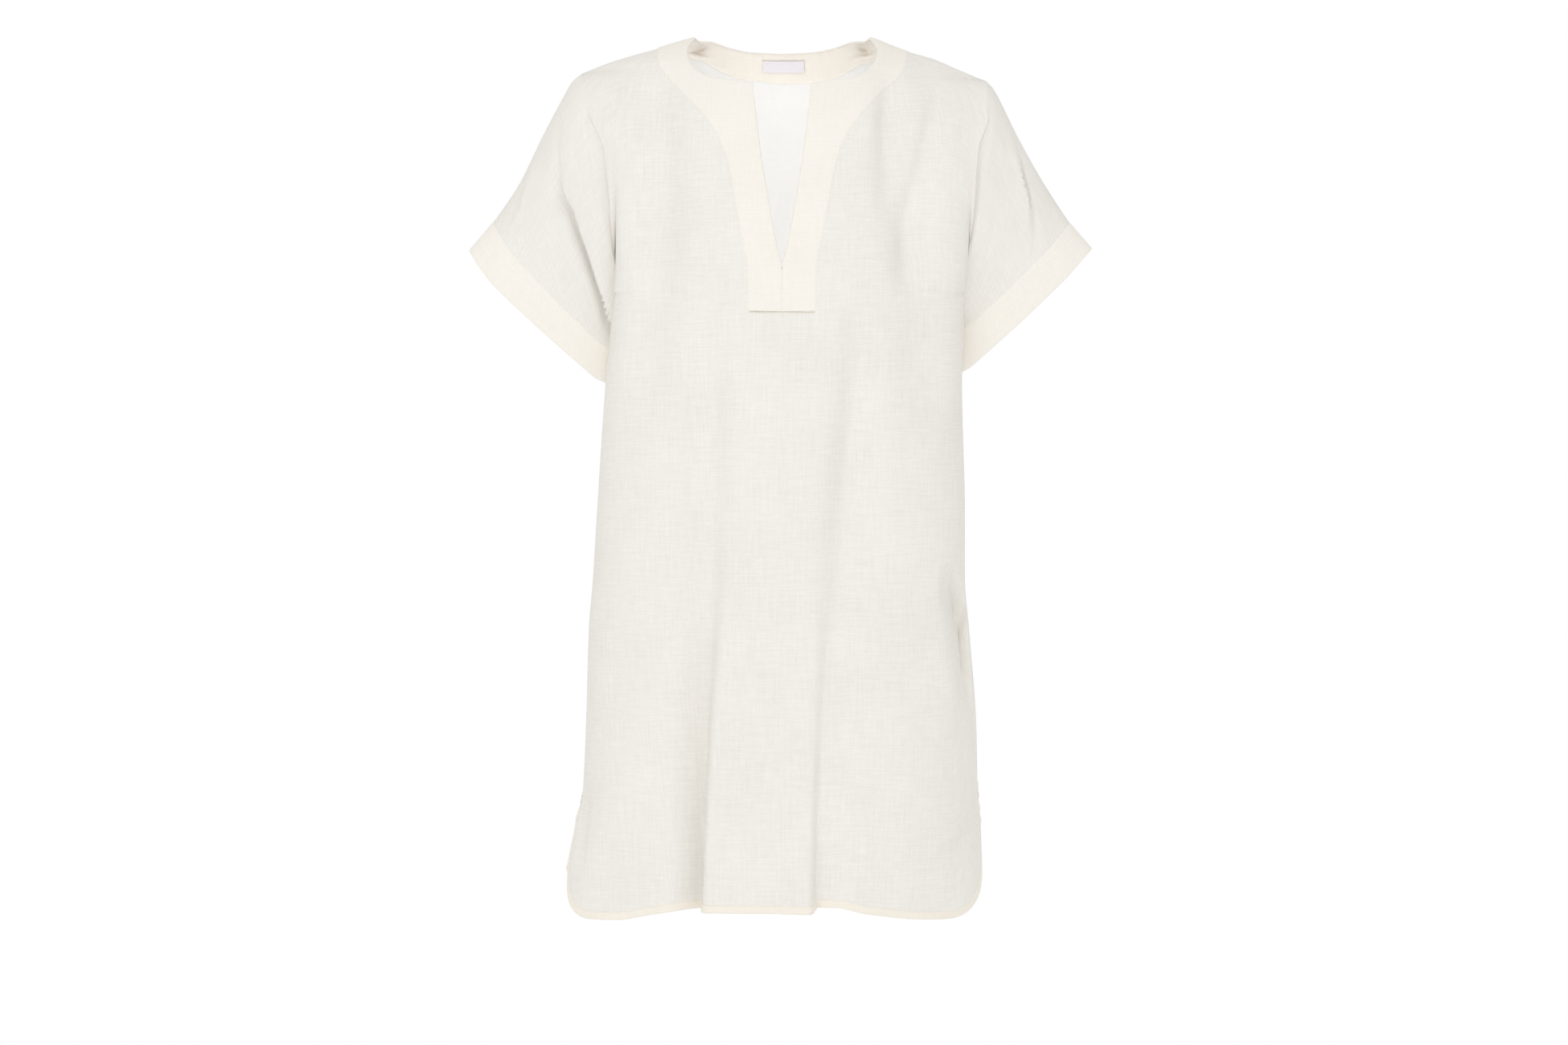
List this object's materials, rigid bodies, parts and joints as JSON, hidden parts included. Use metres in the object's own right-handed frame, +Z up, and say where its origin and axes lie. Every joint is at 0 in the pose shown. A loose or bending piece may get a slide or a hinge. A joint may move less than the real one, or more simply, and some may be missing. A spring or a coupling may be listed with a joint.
{
  "type": "mini dress",
  "caption": "Straight linen tunic mini dress with kimono sleeves, turned cuffs, a banded V slit neckline, side vents and a bound, rounded hem, in its worn hollow form.",
  "frame": {"origin": "midway between the two points where the neckline crosses the shoulder seams, where the wearer's shoulders hold the dress up", "axes": "+Z up, -Y towards the front of the dress, +X to the wearer's left arm, which is on the right when the front is seen"},
  "size_m": [0.6356, 0.2728, 0.8902],
  "materials": {
    "linen": "undyed plain-weave linen with slubs, matte",
    "doubled_linen": "the same linen doubled and pressed, a little warmer and more opaque",
    "binding": "narrow bias tape of the same linen",
    "label_satin": "bare woven satin, slightly glossy"
  },
  "bodies": {
    "root": {"front_panel": "linen", "back_panel": "linen", "neck_band_left": "doubled_linen", "neck_band_right": "doubled_linen", "neck_band_back": "doubled_linen", "cuff_left": "doubled_linen", "cuff_right": "doubled_linen", "hem_binding_front": "binding", "hem_binding_back": "binding", "neck_label": "label_satin"}
  },
  "joints": []
}
